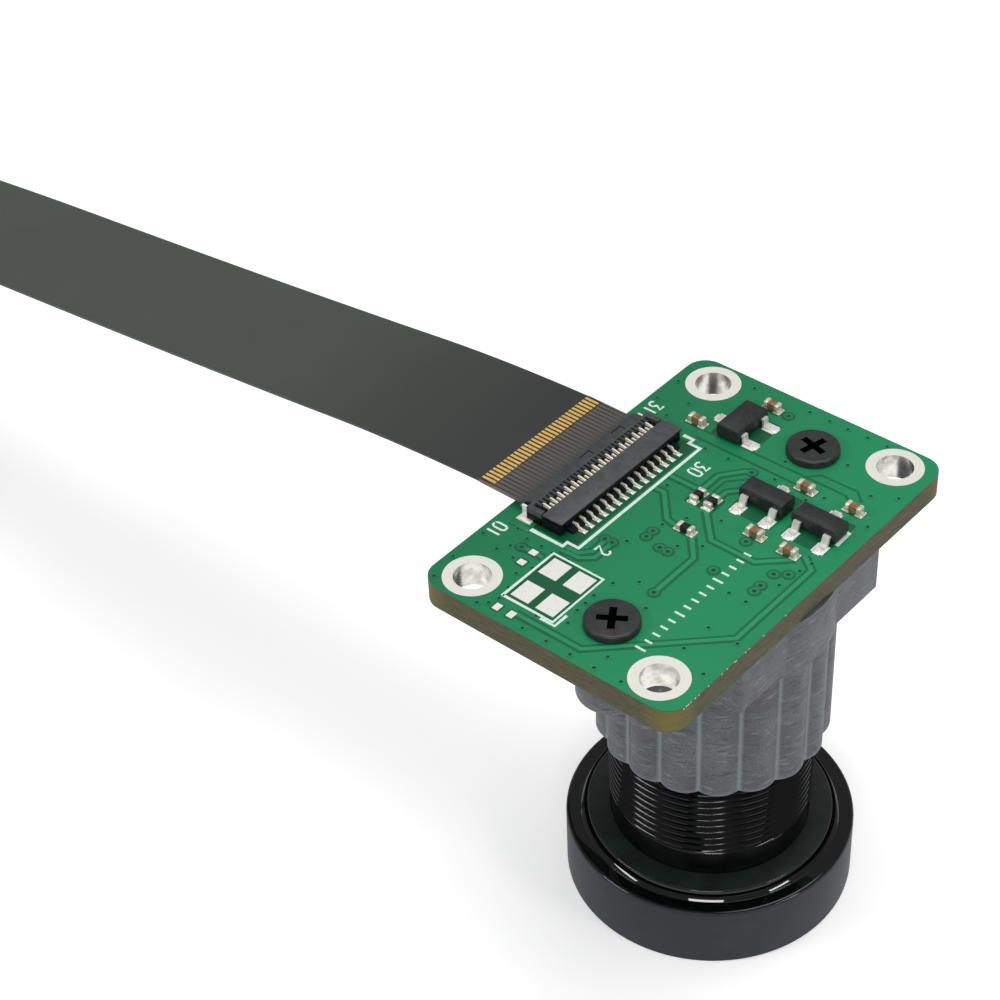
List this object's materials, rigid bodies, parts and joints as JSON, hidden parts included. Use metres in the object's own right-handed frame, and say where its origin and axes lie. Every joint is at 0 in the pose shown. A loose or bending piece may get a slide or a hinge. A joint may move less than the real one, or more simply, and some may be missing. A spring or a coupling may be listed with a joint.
{
  "type": "camera module",
  "caption": "Board camera: a bare circuit board with a screwed-on fluted holder, a focusable wide-angle lens and a flat ribbon cable locked in a flip connector.",
  "frame": {"origin": "on the lens axis at the lens's front rim, where the camera stands on its lens", "axes": "+Z from the lens up through the circuit board, +Y along the board's long side towards the last contact of the connector, -X the way the cable leaves"},
  "size_m": [0.1605, 0.025, 0.0262],
  "materials": {
    "board_laminate": "satin",
    "tinned_copper": "satin",
    "solder": "satin",
    "black_steel": "satin",
    "holder_plastic": "matte",
    "filter_glass": "polished",
    "sensor_ceramic": "matte",
    "window_glass": "polished",
    "black_metal": "satin",
    "lens_glass": "polished",
    "spacer_metal": "matte",
    "connector_plastic": "matte",
    "contact_metal": "satin",
    "lever_plastic": "satin",
    "cable_film": "gloss",
    "gold_plate": "polished",
    "cable_coverlay": "matte",
    "chip_moulding": "matte",
    "capacitor_ceramic": "satin",
    "resistor_film": "satin"
  },
  "bodies": {
    "module": {"circuit_board": "board_laminate", "hole_plating": "tinned_copper", "solder_lands": "solder", "holder_screws": "black_steel", "lens_holder": "holder_plastic", "ir_filter": "filter_glass", "sensor_package": "sensor_ceramic", "sensor_window": "window_glass", "connector_housing": "connector_plastic", "rear_contacts": "contact_metal", "front_contacts": "contact_metal", "hold_down_tabs": "tinned_copper", "cable_tongue": "cable_film", "cable_strips": "gold_plate", "ribbon_cable": "cable_coverlay", "cable_stiffener": "cable_film", "cable_fingers": "gold_plate", "chip_a_body": "chip_moulding", "chip_a_leads": "tinned_copper", "chip_b_body": "chip_moulding", "chip_b_leads": "tinned_copper", "chip_c_body": "chip_moulding", "chip_c_leads": "tinned_copper", "capacitor_1_body": "capacitor_ceramic", "capacitor_1_ends": "solder", "capacitor_2_body": "capacitor_ceramic", "capacitor_2_ends": "solder", "capacitor_3_body": "capacitor_ceramic", "capacitor_3_ends": "solder", "capacitor_4_body": "capacitor_ceramic", "capacitor_4_ends": "solder", "capacitor_5_body": "capacitor_ceramic", "capacitor_5_ends": "solder", "capacitor_6_body": "capacitor_ceramic", "capacitor_6_ends": "solder", "resistor_1_body": "resistor_film", "resistor_1_ends": "solder", "resistor_2_body": "resistor_film", "resistor_2_ends": "solder", "resistor_3_body": "resistor_film", "resistor_3_ends": "solder"},
    "lens": {"lens_barrel": "black_metal", "front_ring": "black_metal", "front_lens": "lens_glass", "second_lens": "lens_glass", "stop_spacer": "spacer_metal", "aperture_stop": "spacer_metal", "crown_lens": "lens_glass", "flint_lens": "lens_glass", "rear_spacer": "spacer_metal", "rear_lens": "lens_glass", "rear_ring": "spacer_metal"},
    "lock": {"lock_lever": "lever_plastic"}
  },
  "joints": [
    {"name": "focus_turn", "type": "hinge", "parent": "module", "child": "lens", "pos_m": [0, 0, 0.012], "axis": [0, 0, -1], "range_deg": [-180, 180]},
    {"name": "lock_flip", "type": "hinge", "parent": "module", "child": "lock", "pos_m": [-0.0076, 0, 0.02605], "axis": [0, -1, 0], "range_deg": [0, 90]}
  ]
}
